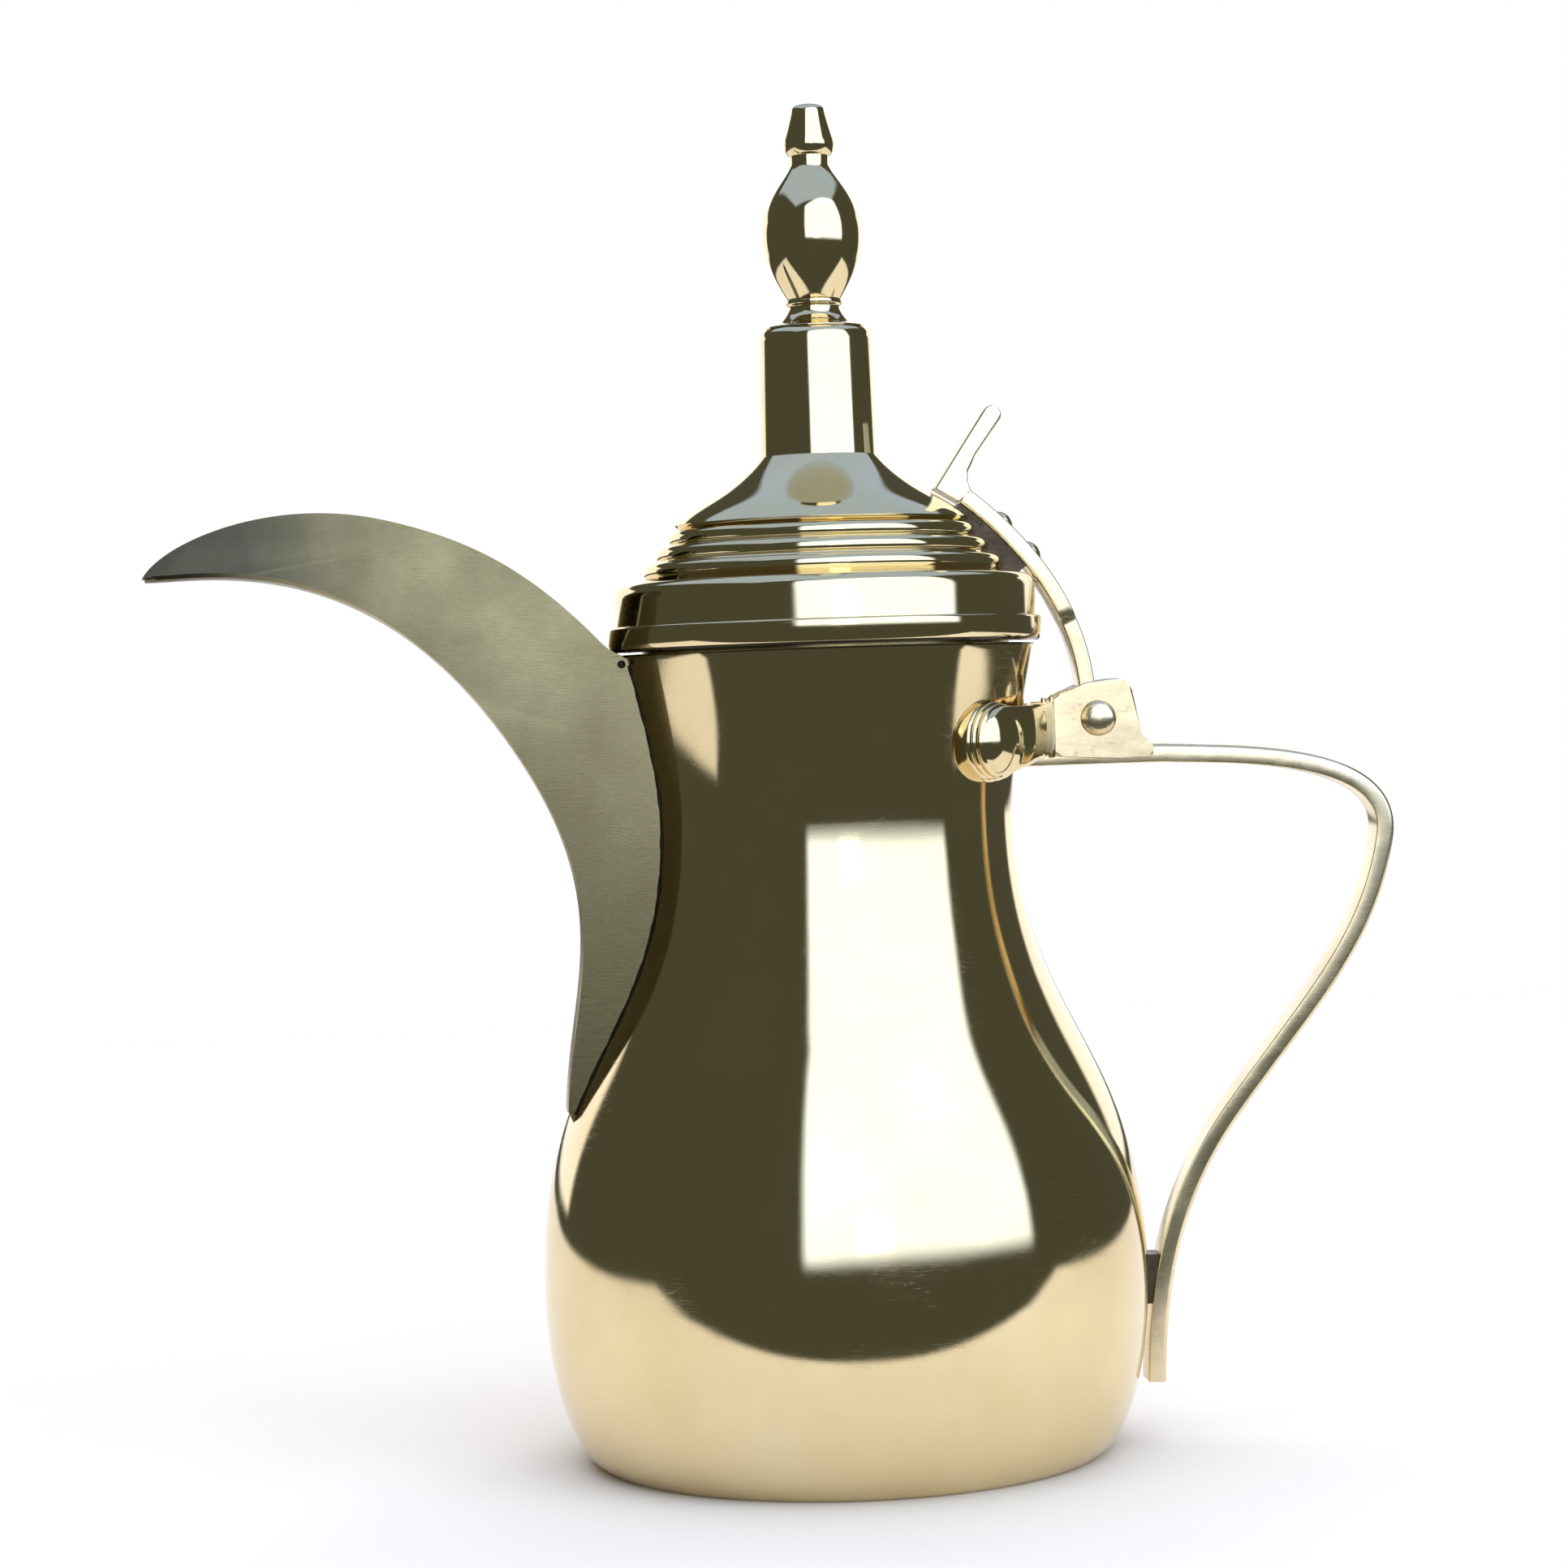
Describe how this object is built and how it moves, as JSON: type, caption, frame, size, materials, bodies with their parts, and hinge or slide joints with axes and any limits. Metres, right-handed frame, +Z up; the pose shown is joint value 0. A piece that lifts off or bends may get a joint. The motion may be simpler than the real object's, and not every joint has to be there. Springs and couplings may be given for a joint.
{
  "type": "dallah coffee pot",
  "caption": "Brass dallah coffee pot: pear-shaped pot, crescent beak, bent strap handle, and a stepped domed lid with a tall finial that swings on a hinge pin.",
  "frame": {"origin": "centre of the flat base, on the surface that the pot stands on", "axes": "+Z up along the pot's axis, +X towards the handle, the beak points to -X, and the XZ plane is the plane of symmetry"},
  "size_m": [0.2761, 0.134, 0.2993],
  "materials": {
    "polished_brass": "mirror polished, fine scratches",
    "satin_brass": "satin, brushed diagonally",
    "cast_brass": "cast, filed and part polished",
    "solder": "dull brazed metal"
  },
  "bodies": {
    "pot": {"body_bowl": "polished_brass", "body_neck": "polished_brass", "base_plate": "polished_brass", "beak_cheek_near": "satin_brass", "beak_cheek_far": "satin_brass", "beak_keel": "satin_brass", "beak_solder_beads": "solder", "bracket_near": "cast_brass", "bracket_far": "cast_brass", "handle_bar": "cast_brass", "handle_foot_pad": "solder", "hinge_pin": "cast_brass"},
    "lid": {"lid_strap": "cast_brass", "strap_rivets": "cast_brass", "strap_packing": "solder", "lid_dome": "polished_brass", "lid_flange_ring": "polished_brass", "lid_sleeve": "satin_brass", "lid_tower": "polished_brass", "tower_collar": "polished_brass", "finial_bulb": "polished_brass", "finial_cap": "polished_brass", "finial_rod": "cast_brass", "finial_washer": "cast_brass", "finial_nut": "cast_brass"}
  },
  "joints": [
    {"name": "lid_hinge", "type": "hinge", "parent": "pot", "child": "lid", "pos_m": [0.0596, 0, 0.1615], "axis": [0, 1, 0], "range_deg": [0, 95]}
  ]
}
